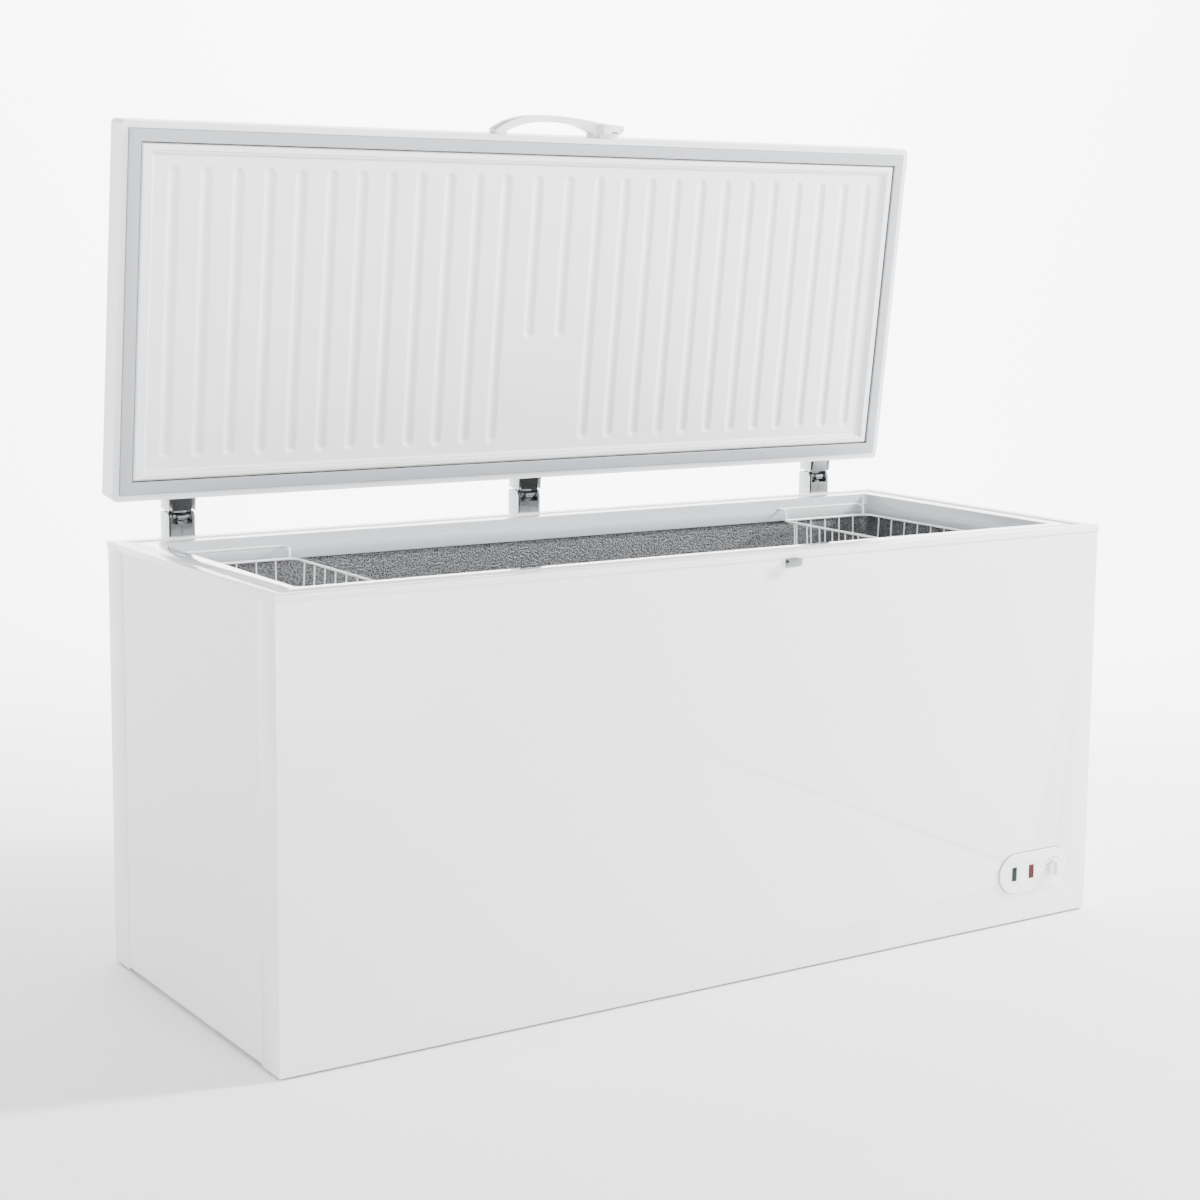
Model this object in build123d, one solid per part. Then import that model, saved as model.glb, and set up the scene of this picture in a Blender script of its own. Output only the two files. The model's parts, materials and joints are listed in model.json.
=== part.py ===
from build123d import *
import math
import os

# Large chest freezer with its lid standing open. Millimetres, +Z up, +X to the user's right,
# the front faces -Y. The origin is on the floor, under the middle of the cabinet.
# The lid is laid out closed and then turned about the hinge pins to its open rest position.

# Cabinet
CAB_W = 1920.0
CAB_D = 770.0
CAB_H = 850.0
SHEET = 1.0                  # steel and aluminium sheet
FLANGE = 73.0                # front and rear panels wrap this far round each end
SIDE_SET_BACK = 1.0          # end panels lie this far inside the wrapped flanges
PANEL_BOTTOM = 3.0
FOOT_H = 12.0
BASE_T = 1.2

# Collar and throat, measured inwards from the cabinet's outer face
COLLAR_OVER = 2.0
COLLAR_SKIRT = 13.0
COLLAR_BAND = 23.0
STRIP_DROP = 0.8
THROAT = 75.0
LEDGE = 8.0
TIER_1 = 25.0
TIER_2 = 24.0
MOULDING = 2.0
LINER_INSET = 79.0
CAVITY_R = 16.0
TIER_R = 12.0                # corners of the ledge and of the lower step
FLOOR_Z = 80.0
HUMP_X = 560.0
HUMP_Z = 340.0

# Machine compartment at the right-hand end
BAY_X = 640.0
BAY_Z = 260.0

# Lid, closed, and its hinge line
HINGE_Y = 400.0
HINGE_Z = 888.0
LID_OPEN = 83.0
LID_HALF_W = 958.0
LID_FRONT = -379.0
LID_REAR = 356.0
LID_Z0 = 856.0
LID_T = 60.0
LIP = 13.0
GASKET_W = 27.5
GASKET_GAP = 0.3
FIELD_X = 900.0              # half the recess's length at its mouth
FIELD_Y0 = -325.0            # front edge of its mouth, lid closed
FIELD_Y1 = 303.0
PLATEAU_DROP = 3.0
FIELD_SLOPE = 12.0
FIELD_DEPTH = 8.0
PANEL_T = 2.5

# Grooves pressed into the lid's inner panel
GROOVE_W = 28.0
GROOVE_DEPTH = 4.0
GROOVE_PITCH = 66.8
GROOVE_MIDDLE = 76.8         # between the two short grooves
GROOVES_A_SIDE = 12
GROOVE_Y0 = -299.0           # front end of the grooves, lid closed
GROOVE_Y1 = 277.0
SHORT_GROOVE_Y1 = 51.0

# Hinges
HINGE_XS = {"left": -805.0, "centre": 0.0, "right": 805.0}
PIN_R = 4.0
PIN_CLEAR = 0.05
EAR_R = 12.0
PLUNGER_GAP = 9.6
SPRING_R = 8.2
SPRING_WIRE = 2.2
SPRING_Z = 705.0

# Control panel
PANEL_X = 803.0
PANEL_Z = 110.0
KNOB_X = 860.0

# Handle and lock, on the lid's front edge
HANDLE_Z = 886.0
HANDLE_T = 30.0
LOCK_X = 105.0
LOCK_L = 46.0
LOCK_Z = 874.0
LOCK_U = 20.3
BOLT_X = 132.0

# Baskets
BASKET_W = 256.0
BASKET_D = 560.0
BASKET_H = 225.0
BASKET_X = 738.0
BASKET_RIM_Z = 808.0
BASKET_WALL = 1.2

# Drain
DRAIN_X = -500.0
DRAIN_Y = 250.0
DRAIN_Z = 45.0
DRAIN_R = 10.0
DRAIN_BORE = 7.0

HALF_W = CAB_W / 2
HALF_D = CAB_D / 2
HINGE_AXIS = Axis((0, HINGE_Y, HINGE_Z), (-1, 0, 0))


def block(x0, x1, y0, y1, z0, z1):
    """A box between two corners."""
    middle = ((x0 + x1) / 2, (y0 + y1) / 2, (z0 + z1) / 2)
    return Pos(*middle) * Box(x1 - x0, y1 - y0, z1 - z0)


def rod(start, direction, radius, length):
    """A round bar from a point along a direction."""
    return extrude(Plane(origin=start, z_dir=direction) * Circle(radius), length)


def prism(inset, z0, z1, corner=0.0):
    """The cabinet's plan, drawn in by an inset, between two heights."""
    width = CAB_W - 2 * inset
    depth = CAB_D - 2 * inset
    plan = RectangleRounded(width, depth, corner) if corner else Rectangle(width, depth)
    return extrude(Pos(0, 0, z0) * plan, z1 - z0)


def ring(outer, inner, z0, z1, outer_r=0.0, inner_r=0.0):
    """A band round the cabinet between two insets."""
    return prism(outer, z0, z1, outer_r) - prism(inner, z0, z1, inner_r)


def lid_prism(inset, z0, z1, corner=0.0):
    """The lid's plan, drawn in by an inset, between two heights."""
    width = 2 * (LID_HALF_W - inset)
    depth = LID_REAR - LID_FRONT - 2 * inset
    plan = RectangleRounded(width, depth, corner) if corner else Rectangle(width, depth)
    return extrude(Pos(0, (LID_FRONT + LID_REAR) / 2, z0) * plan, z1 - z0)


def tube(points, radius, bend):
    """A round tube along straight runs joined by arcs."""
    path = FilletPolyline(*points, radius=bend)
    return sweep(Plane(origin=path @ 0, z_dir=path % 0) * Circle(radius), path=path)


def channel(points, side, bend):
    """Square grooves round a tube's runs and bends, for the foam to leave open."""
    half = side / 2
    spans = list(zip(points, points[1:]))
    for before, corner, after in zip(points, points[1:], points[2:]):
        spans.append((toward(corner, before, bend), toward(corner, after, bend)))
    boxes = []
    for a, b in spans:
        low = [min(p, q) - half for p, q in zip(a, b)]
        high = [max(p, q) + half for p, q in zip(a, b)]
        boxes.append(block(low[0], high[0], low[1], high[1], low[2], high[2]))
    return boxes


def toward(start, end, distance):
    """The point a distance along the run from one point to another."""
    length = math.dist(start, end)
    return tuple(p + (q - p) * distance / length for p, q in zip(start, end))


def opened(shape):
    """Turn a lid piece from closed to its open rest position."""
    return shape.rotate(HINGE_AXIS, LID_OPEN)


# ---------------------------------------------------------------- places shared by several pieces

PANEL_TOP = CAB_H - MOULDING
LEDGE_Z = CAB_H - TIER_1
LINER_TOP = LEDGE_Z - MOULDING - 3
EVAP_Y = HALF_D - LINER_INSET + SHEET + 5
EVAP_X = HALF_W - LINER_INSET + SHEET + 5
CONDENSER_Y = -(HALF_D - SHEET - 5.5)
COMPRESSOR = (800.0, 60.0)
COMPRESSOR_R = 80.0
COMPRESSOR_FEET = [(COMPRESSOR[0] + dx, COMPRESSOR[1] + dy) for dx in (-85, 85) for dy in (-60, 60)]
FOOT_PLACES = [(x, y) for x in (-900, 0, 600, 915) for y in (-330, 330)]
GLAND = (680.0, 110.0)
LAMP_XS = {"green": 746.0, "red": 795.0}
GRILLE_SCREWS = [(y, z) for y in (-112, 112) for z in (65, 225)]
COVER_SCREWS = [(x, z) for x in (722, 928) for z in (60, 220)]
HINGE_SCREWS = [(x + dx, z) for x in HINGE_XS.values() for dx in (-36, 36) for z in (720, 815)]

EVAP_LEVELS = [430.0, 520.0, 610.0, 700.0]
EVAP_RISER_X = 660.0
EVAP_RISER_STEP = 40.0
CONDENSER_ROWS = [150.0, 250.0, 350.0, 450.0, 550.0, 650.0]
EVAP_BEND = 18.0
CONDENSER_BEND = 20.0
CAPILLARY_BEND = 15.0
DRAIN_BEND = 22.0


def evaporator_points():
    """Loops round the tank, each joined to the next by a riser on the rear side."""
    points = [(EVAP_RISER_X, EVAP_Y, 396)]
    for turn, z in enumerate(EVAP_LEVELS):
        x = EVAP_RISER_X + turn * EVAP_RISER_STEP
        loop = [(x, EVAP_Y), (-EVAP_X, EVAP_Y), (-EVAP_X, -EVAP_Y), (EVAP_X, -EVAP_Y), (EVAP_X, EVAP_Y)]
        points += [(px, py, z) for px, py in loop]
        points.append((x + EVAP_RISER_STEP, EVAP_Y, z))
    x = points[-1][0]
    z = EVAP_LEVELS[-1]
    suction = COMPRESSOR[1] + COMPRESSOR_R + 10
    return points + [(x, 345, z), (x, 345, 190), (x, suction, 190)]


def condenser_points():
    """A serpentine behind the front panel, from the compressor to the drier."""
    start = (COMPRESSOR[0] - COMPRESSOR_R - 10, COMPRESSOR[1], CONDENSER_ROWS[0])
    points = [start, (665, COMPRESSOR[1], 150), (665, CONDENSER_Y, 150)]
    ends = (-900, 540)
    for row, z in enumerate(CONDENSER_ROWS):
        end = ends[row % 2]
        points.append((end if z != CONDENSER_ROWS[-1] else 600, CONDENSER_Y, z))
        if z != CONDENSER_ROWS[-1]:
            points.append((end, CONDENSER_Y, z + 100))
    return points + [(600, CONDENSER_Y, 190), (660, CONDENSER_Y, 190), (660, -338, 190)]


CAPILLARY_POINTS = [(660, -222, 190), (660, EVAP_Y, 190), (660, EVAP_Y, 396)]
DRAIN_POINTS = [
    (DRAIN_X, DRAIN_Y, FLOOR_Z - SHEET),
    (DRAIN_X, DRAIN_Y, DRAIN_Z),
    (DRAIN_X, HALF_D + 16, DRAIN_Z),
]


# ---------------------------------------------------------------- cabinet panels


def end_wrap(side):
    """Front (-1) or rear (+1) sheet, wrapped round both ends of the cabinet."""
    face = side * HALF_D
    near, far = sorted((face, face - side * SHEET))
    sheet = block(-HALF_W, HALF_W, near, far, PANEL_BOTTOM, PANEL_TOP)
    y0, y1 = sorted((face, face - side * FLANGE))
    for end in (-1, 1):
        x0, x1 = sorted((end * HALF_W, end * (HALF_W - SHEET)))
        sheet += block(x0, x1, y0, y1, PANEL_BOTTOM, PANEL_TOP)
    return sheet


def front_panel():
    """Front sheet with openings for the lamps and the thermostat's shaft."""
    sheet = end_wrap(-1)
    for x in LAMP_XS.values():
        sheet -= block(x - 6.5, x + 6.5, -HALF_D - 1, -HALF_D + 2, PANEL_Z - 15, PANEL_Z + 15)
    return sheet - rod((KNOB_X, -HALF_D - 1, PANEL_Z), (0, 1, 0), 6, 4)


def rear_panel():
    """Rear sheet with its service opening and holes for the gland, drain and screws."""
    sheet = end_wrap(1)
    inside = HALF_D - 3
    sheet -= block(735, 915, inside, HALF_D + 1, 75, 205)
    sheet -= rod((GLAND[0], inside, GLAND[1]), (0, 1, 0), 9, 6)
    sheet -= rod((DRAIN_X, inside, DRAIN_Z), (0, 1, 0), DRAIN_R, 6)
    for x, z in HINGE_SCREWS:
        sheet -= rod((x, inside, z), (0, 1, 0), 2.5, 6)
    for x, z in COVER_SCREWS:
        sheet -= rod((x, inside, z), (0, 1, 0), 2.0, 6)
    return sheet


def side_panel(end):
    """End sheet, tucked behind the flanges of the front and rear sheets."""
    outer = end * (HALF_W - SIDE_SET_BACK)
    x0, x1 = sorted((outer, outer - end * SHEET))
    sheet = block(x0, x1, -HALF_D + 2, HALF_D - 2, PANEL_BOTTOM + 4, PANEL_TOP)
    if end > 0:
        sheet -= block(x0 - 1, x1 + 1, -100, 100, 80, 210)
        for y, z in GRILLE_SCREWS:
            sheet -= rod((x0 - 1, y, z), (1, 0, 0), 2.0, 4)
    return sheet


def base_tray():
    """Floor sheet with a stepped cover over the machine compartment."""
    x1 = HALF_W - 3 * SHEET
    y1 = HALF_D - 2 * SHEET
    tray = block(-x1, x1, -y1, y1, FOOT_H, FOOT_H + BASE_T)
    tray += block(BAY_X, BAY_X + BASE_T, -y1, y1, FOOT_H, BAY_Z + BASE_T)
    tray += block(BAY_X, x1, -y1, y1, BAY_Z, BAY_Z + BASE_T)
    for x, y in FOOT_PLACES + COMPRESSOR_FEET:
        tray -= rod((x, y, 0), (0, 0, 1), 4.0, 30)
    for z in (150, 190):
        tray -= rod((BAY_X - 2, CONDENSER_Y, z), (1, 0, 0), 4, 6)
    for x, y in ((660, EVAP_Y), (820, 345), (KNOB_X, -352)):
        tray -= rod((x, y, BAY_Z - 2), (0, 0, 1), 6, 6)
    return tray


def top_collar():
    """White moulded band round the cabinet's top edge, with a skirt outside the panels."""
    skirt = ring(-COLLAR_OVER, 0, CAB_H - COLLAR_SKIRT, CAB_H)
    return skirt + ring(0, COLLAR_BAND, PANEL_TOP, CAB_H)


def throat_frame():
    """Inner moulding in four mitred lengths: the gasket's strip and two steps down to the tank."""
    top = CAB_H - STRIP_DROP
    inner = THROAT + LEDGE
    under = LEDGE_Z - MOULDING
    frame = ring(COLLAR_BAND, THROAT, top - MOULDING, top, 0, 12)
    frame += ring(THROAT - MOULDING, THROAT, under, top, 14, 12)
    frame += ring(THROAT - MOULDING, inner, under, LEDGE_Z, 14, TIER_R)
    frame += ring(inner - MOULDING, inner, LEDGE_Z - TIER_2, LEDGE_Z, TIER_R + MOULDING, TIER_R)
    ridge = HALF_W - HALF_D
    lengths = []
    for side in (-1, 1):
        y = side * HALF_D
        lengths.append([(-HALF_W, y), (HALF_W, y), (ridge, 0), (-ridge, 0)])
        lengths.append([(side * HALF_W, -HALF_D), (side * HALF_W, HALF_D), (side * ridge, 0)])
    plans = [extrude(make_face(Polyline(*plan, close=True)), CAB_H + 10) for plan in lengths]
    return Compound([frame & plan for plan in plans])


def cavity(grow):
    """The storage space, with the step over the machine compartment, grown by a skin."""
    space = prism(LINER_INSET - grow, FLOOR_Z - grow, LINER_TOP, CAVITY_R + grow)
    return space - block(HUMP_X + grow, HALF_W, -HALF_D, HALF_D, 0, HUMP_Z - grow)


def inner_liner():
    """Embossed aluminium tank: flat sheets and four rounded corner strips, seamed together."""
    tank = cavity(SHEET) - cavity(0)
    tank -= rod((DRAIN_X, DRAIN_Y, FLOOR_Z - 5), (0, 0, 1), DRAIN_BORE, 10)
    corner_x = HALF_W - LINER_INSET - CAVITY_R
    corner_y = HALF_D - LINER_INSET - CAVITY_R
    riser_x = HUMP_X + SHEET
    parts = [
        block(-HALF_W, riser_x, -HALF_D, HALF_D, 0, FLOOR_Z),
        block(HUMP_X, riser_x, -HALF_D, HALF_D, FLOOR_Z, HUMP_Z),
        block(riser_x, HALF_W, -HALF_D, HALF_D, 0, HUMP_Z),
    ]
    for end, low in ((-1, FLOOR_Z), (1, HUMP_Z)):
        near, far = sorted((end * corner_x, end * HALF_W))
        parts.append(block(near, far, -corner_y, corner_y, low, LINER_TOP))
        for y0, y1 in ((-HALF_D, -corner_y), (corner_y, HALF_D)):
            parts.append(block(near, far, y0, y1, low, LINER_TOP))
    for y0, y1 in ((-HALF_D, -corner_y), (corner_y, HALF_D)):
        wall = block(-corner_x, HUMP_X, y0, y1, FLOOR_Z, LINER_TOP)
        parts.append(wall + block(HUMP_X, corner_x, y0, y1, HUMP_Z, LINER_TOP))
    return Compound([(tank & part).solid() for part in parts])


def foam_insulation():
    """Foam between the panels and the tank, left open where pipes and screws run."""
    behind_strip = CAB_H - STRIP_DROP - MOULDING
    foam = prism(2 * SHEET, FOOT_H + BASE_T, LINER_TOP)
    foam -= cavity(SHEET)
    foam += ring(2 * SHEET, THROAT - MOULDING, LINER_TOP, behind_strip, 0, 14)
    ledge_back = THROAT + LEDGE - MOULDING
    foam -= ring(LINER_INSET - SHEET, ledge_back + 20, LEDGE_Z - TIER_2 - 1, LINER_TOP, CAVITY_R + 1, TIER_R)
    foam -= block(BAY_X, HALF_W, -HALF_D, HALF_D, 0, BAY_Z + BASE_T)
    runs = channel(evaporator_points(), 11, EVAP_BEND)
    runs += channel(condenser_points(), 9, CONDENSER_BEND)
    runs += channel(CAPILLARY_POINTS[1:], 11, CAPILLARY_BEND)
    runs += channel(DRAIN_POINTS, 2 * DRAIN_R + 1, DRAIN_BEND)
    runs.append(block(KNOB_X - 6, KNOB_X + 6, -358, -346, BAY_Z, HUMP_Z - SHEET))
    runs += [block(x - 4, x + 4, HALF_D - 20, HALF_D, z - 4, z + 4) for x, z in HINGE_SCREWS]
    for run in runs:
        foam -= run
    return foam


def lock_keeper():
    """Zinc catch on the front panel under the collar, with a slot for the lock's bolt."""
    out = LID_FRONT - 19
    x0 = BOLT_X - 15
    x1 = BOLT_X + 17
    catch = block(x0, x1, -HALF_D - 1.5, -HALF_D, 819, 836)
    catch += block(x0, x1, out, -HALF_D, 834, 836)
    catch += block(x0, x1, out, out + 1.5, 822, 836)
    return catch - block(BOLT_X - 8.5, BOLT_X + 8.5, LID_FRONT - 16, LID_FRONT - 10, 830, 840)


def feet():
    """Low plastic glides with a short stud each."""
    pads = []
    for x, y in FOOT_PLACES:
        pad = rod((x, y, 0), (0, 0, 1), 22, FOOT_H)
        pad = chamfer(pad.edges().filter_by(GeomType.CIRCLE).group_by(Axis.Z)[0], 2)
        pads.append(pad + rod((x, y, FOOT_H), (0, 0, 1), 3.8, BASE_T))
    return Compound(pads)


def vent_grille():
    """Louvred grille over the compartment's side opening."""
    outer = HALF_W - SIDE_SET_BACK
    plate = block(outer, outer + 2.5, -125, 125, 55, 235)
    for index in range(9):
        z = 88 + index * 14
        plate -= block(outer - 1, outer + 4, -95, 95, z, z + 6)
    for y, z in GRILLE_SCREWS:
        plate -= rod((outer - 1, y, z), (1, 0, 0), 2.0, 6)
    return plate


def service_cover():
    """Slotted steel cover over the compartment's rear opening."""
    plate = block(712, 938, HALF_D, HALF_D + 1.5, 50, 230)
    for index in range(11):
        x = 745 + index * 15
        plate -= block(x, x + 7, HALF_D - 1, HALF_D + 3, 85, 195)
    for x, z in COVER_SCREWS:
        plate -= rod((x, HALF_D - 1, z), (0, 1, 0), 2.0, 4)
    return plate


def pan_screw(point, direction, shank_r, shank_l, head_r, head_h):
    """A screw with its head outside the point and its shank behind it."""
    inward = tuple(-c for c in direction)
    head = rod(point, direction, head_r, head_h)
    head = chamfer(head.edges().filter_by(GeomType.CIRCLE).sort_by_distance(point)[-1], head_h * 0.4)
    return head + rod(point, inward, shank_r, shank_l)


def panel_screws():
    """Screws that hold the side grille and the rear cover."""
    outer = HALF_W - SIDE_SET_BACK + 2.5
    screws = [pan_screw((outer, y, z), (1, 0, 0), 2.0, 7, 4.2, 2.4) for y, z in GRILLE_SCREWS]
    rear = HALF_D + 1.5
    screws += [pan_screw((x, rear, z), (0, 1, 0), 2.0, 7, 4.2, 2.4) for x, z in COVER_SCREWS]
    return Compound(screws)


# ---------------------------------------------------------------- machine compartment


def compressor():
    """Welded shell with domed ends, pipe stubs and a foot plate."""
    x, y = COMPRESSOR
    low, high = 42.0, 205.0
    dome = 42.0
    with BuildPart() as shell:
        with BuildSketch(Plane.XZ):
            with BuildLine():
                Polyline((0, low), (COMPRESSOR_R - dome, low))
                RadiusArc((COMPRESSOR_R - dome, low), (COMPRESSOR_R, low + dome), -dome)
                Line((COMPRESSOR_R, low + dome), (COMPRESSOR_R, high - dome))
                RadiusArc((COMPRESSOR_R, high - dome), (COMPRESSOR_R - dome, high), -dome)
                Polyline((COMPRESSOR_R - dome, high), (0, high), (0, low))
            make_face()
        revolve(axis=Axis.Z)
    body = Pos(x, y, 0) * shell.part
    body += Pos(x, y, 120) * extrude(Circle(COMPRESSOR_R + 2), 5)
    plate = block(x - 105, x + 105, y - 78, y + 78, 39, 42)
    for px, py in COMPRESSOR_FEET:
        plate -= rod((px, py, 30), (0, 0, 1), 9.0, 20)
    body += plate
    return body + rod((x - COMPRESSOR_R + 12, y, 150), (-1, 0, 0), 5, 22) + suction_stub()


def suction_stub():
    """Pipe stub on the shell's rear for the suction line."""
    x, y = COMPRESSOR
    return rod((x + 20, y + 30, 190), (0, 1, 0), 5, COMPRESSOR_R + 10 - 30)


def compressor_plate():
    """Cross member under the compressor."""
    x, y = COMPRESSOR
    top = FOOT_H + BASE_T
    plate = block(x - 115, x + 115, y - 90, y + 90, top, top + 2.5)
    for px, py in COMPRESSOR_FEET:
        plate -= rod((px, py, 0), (0, 0, 1), 4.0, 30)
    return plate


def compressor_grommets():
    """Rubber mounts, waisted to grip the foot plate's holes."""
    base = FOOT_H + BASE_T + 2.5
    mounts = []
    for px, py in COMPRESSOR_FEET:
        mount = rod((px, py, base), (0, 0, 1), 14, 39 - base)
        mount += rod((px, py, 39), (0, 0, 1), 8.95, 3)
        mount += rod((px, py, 42), (0, 0, 1), 13, 5)
        mounts.append(mount - rod((px, py, 0), (0, 0, 1), 4.05, 60))
    return Compound(mounts)


def compressor_bolts():
    """Bolts up through the tray and grommets, each with a washer and nut."""
    bolts = []
    for px, py in COMPRESSOR_FEET:
        bolt = rod((px, py, FOOT_H), (0, 0, 1), 4.0, 45)
        bolt += rod((px, py, FOOT_H - 4), (0, 0, 1), 7, 4)
        bolt += rod((px, py, 47), (0, 0, 1), 9, 1.5)
        nut = extrude(Pos(px, py, 48.5) * RegularPolygon(7.2, 6), 6)
        bolts.append(bolt + nut)
    return Compound(bolts)


def terminal_cover():
    """Box over the start relay and overload on the compressor's side."""
    x, y = COMPRESSOR
    face = y - COMPRESSOR_R - 2.5
    cover = block(x - 28, x + 28, face - 38, face, 85, 150)
    cover = fillet(cover.edges().group_by(Axis.Y)[0], 5)
    return cover - block(x - 25, x + 25, face - 35, face + 1, 88, 147)


def filter_drier():
    """Copper drier between the condenser and the capillary."""
    body = rod((660, -332, 190), (0, 1, 0), 11, 104)
    body = fillet(body.edges().filter_by(GeomType.CIRCLE), 6)
    body += rod((660, -338, 190), (0, 1, 0), 4.5, 8)
    return body + rod((660, -230, 190), (0, 1, 0), 3.0, 8)


def inlet_gland():
    """Gland where the mains lead enters; the lead itself isn't part of the model."""
    x, z = GLAND
    gland = rod((x, HALF_D - 12, z), (0, 1, 0), 8.9, 14)
    gland += rod((x, HALF_D, z), (0, 1, 0), 14, 4)
    gland += rod((x, HALF_D - 12, z), (0, 1, 0), 12, 8)
    gland += extrude(Plane(origin=(x, HALF_D + 4, z), z_dir=(0, 1, 0)) * Circle(9), 16, taper=8)
    return gland - rod((x, HALF_D - 20, z), (0, 1, 0), 4, 60)


# ---------------------------------------------------------------- controls


def racetrack(length, height, y, depth, edge):
    """A plate with round ends on the front panel, its front edge eased."""
    face = Plane(origin=(PANEL_X, y, PANEL_Z), x_dir=(1, 0, 0), z_dir=(0, -1, 0))
    plate = extrude(face * SlotOverall(length, height), depth)
    return fillet(plate.edges().group_by(Axis.Y)[0], edge)


def control_bezel():
    """White oval surround with two lamp windows and the knob's spindle hole."""
    plate = racetrack(194, 86, -HALF_D, 5, 3)
    for x in LAMP_XS.values():
        plate -= block(x - 6.5, x + 6.5, -HALF_D - 6, -HALF_D + 1, PANEL_Z - 15, PANEL_Z + 15)
    return plate - rod((KNOB_X, -HALF_D + 1, PANEL_Z), (0, -1, 0), 6, 10)


def lamp(name):
    """A rectangular indicator with a crowned lens and a body behind the panel."""
    x = LAMP_XS[name]
    lens = block(x - 6.4, x + 6.4, -HALF_D - 7, -HALF_D + 4, PANEL_Z - 14.9, PANEL_Z + 14.9)
    lens = fillet(lens.edges().group_by(Axis.Y)[0], 1.5)
    return lens + block(x - 8, x + 8, -HALF_D + 1.2, -HALF_D + 22, PANEL_Z - 16, PANEL_Z + 16)


def thermostat_body():
    """Thermostat behind the panel, with its shaft through the bezel."""
    body = block(KNOB_X - 22, KNOB_X + 22, -HALF_D + 3, -HALF_D + 27, PANEL_Z - 18, PANEL_Z + 18)
    body += rod((KNOB_X, -HALF_D + 4, PANEL_Z), (0, -1, 0), 5.8, 4.0)
    return body + rod((KNOB_X, -HALF_D + 2, PANEL_Z), (0, -1, 0), 3.0, 17)


def thermostat_bulb():
    """Sensing tube from the thermostat up to the bulb under the tank's step."""
    top = PANEL_Z + 18
    y = -352
    bridge = block(KNOB_X - 1.5, KNOB_X + 1.5, -HALF_D + 27, y + 1.5, top - 3, top)
    tail = rod((KNOB_X, y, top - 3), (0, 0, 1), 1.5, 170)
    return bridge + tail + rod((KNOB_X, y, top + 160), (0, 0, 1), 4.0, 40)


def thermostat_knob():
    """Round knob with a raised grip bar, bored for the shaft."""
    back = -HALF_D - 5.5
    knob = rod((KNOB_X, back, PANEL_Z), (0, -1, 0), 17, 8)
    knob = fillet(knob.edges().filter_by(GeomType.CIRCLE).group_by(Axis.Y)[0], 2)
    grip = block(KNOB_X - 3.5, KNOB_X + 3.5, back - 15, back - 8, PANEL_Z - 16, PANEL_Z + 16)
    grip = fillet(grip.edges().group_by(Axis.Y)[0], 1.5)
    return knob + grip - rod((KNOB_X, back + 1, PANEL_Z), (0, -1, 0), 3.05, 11)


# ---------------------------------------------------------------- drain


def drain_tube():
    """Elbow from the tank's floor to a spigot on the rear panel."""
    outer = tube(DRAIN_POINTS, DRAIN_R, DRAIN_BEND)
    return outer - tube(DRAIN_POINTS, DRAIN_BORE, DRAIN_BEND)


def drain_plug():
    """Plug in the tank's floor with a pull tab."""
    plug = rod((DRAIN_X, DRAIN_Y, FLOOR_Z - 12), (0, 0, 1), DRAIN_BORE - 0.1, 12.5)
    plug += rod((DRAIN_X, DRAIN_Y, FLOOR_Z + 0.3), (0, 0, 1), 16, 4)
    tab = block(DRAIN_X - 2, DRAIN_X + 2, DRAIN_Y - 9, DRAIN_Y + 9, FLOOR_Z + 4, FLOOR_Z + 16)
    return plug + tab


def drain_cap():
    """Screw cap over the rear spigot."""
    y = HALF_D + 2
    cap = rod((DRAIN_X, y, DRAIN_Z), (0, 1, 0), 15, 18)
    cap -= rod((DRAIN_X, y - 1, DRAIN_Z), (0, 1, 0), DRAIN_R + 0.3, 15.3)
    for index in range(12):
        angle = index * math.tau / 12
        x = DRAIN_X + 15.5 * math.cos(angle)
        z = DRAIN_Z + 15.5 * math.sin(angle)
        cap -= rod((x, y - 1, z), (0, 1, 0), 1.4, 30)
    return cap


# ---------------------------------------------------------------- hinges


def cheek(x0, x1, outline):
    """A flat plate across X from an outline in Y and Z, given relative to the hinge pin."""
    points = [(HINGE_Y + y, HINGE_Z + z) for y, z in outline]
    face = make_face(Polyline(*points, close=True))
    return extrude(Plane.YZ.offset(x0) * face, x1 - x0)


def across(x, x0, x1, y0, y1, z0, z1):
    """A box at a hinge, with Y and Z relative to its pin and X to its middle."""
    return block(x + x0, x + x1, HINGE_Y + y0, HINGE_Y + y1, HINGE_Z + z0, HINGE_Z + z1)


def hinge_lower_bracket(x):
    """Folded zinc channel on the cabinet's rear, with two ears for the pin."""
    wall = HALF_D - HINGE_Y
    bracket = block(x - 44, x + 44, HALF_D, HALF_D + 2, 700, 836)
    for side in (-1, 1):
        a, b = sorted((side * 0.5, side * 23.5))
        bracket += across(x, a, b, wall + 2.5, wall + 4.5, -188, -14)
        bracket += across(x, a, b, wall, wall + 3.5, -188, -53)
        a, b = sorted((x + side * 21.5, x + side * 23.5))
        bracket += cheek(a, b, [(wall + 2.5, -188), (20, -188), (20, -40), (EAR_R, 0), (wall + 2.5, 0)])
        bracket += rod((a, HINGE_Y, HINGE_Z), (1, 0, 0), EAR_R, 2)
    bracket += across(x, -22, 22, wall + 3, 20, -185, SPRING_Z - HINGE_Z)
    bracket -= rod((x - 30, HINGE_Y, HINGE_Z), (1, 0, 0), PIN_R, 60)
    for hole_x, z in HINGE_SCREWS:
        if abs(hole_x - x) < 40:
            bracket -= rod((hole_x, HALF_D - 5, z), (0, 1, 0), 2.5, 15)
    return bracket


def hinge_lower_cover(x):
    """White plastic cover round the sides and back of the lower bracket."""
    front = HALF_D - HINGE_Y + 3
    profile = [(front, -118), (28, -118), (28, 10), (-6, 10), (front, 0)]
    cover = cheek(x - 29, x - 27, profile) + cheek(x + 27, x + 29, profile)
    return cover + across(x, -29, 29, 26, 28, -118, 10)


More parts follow.
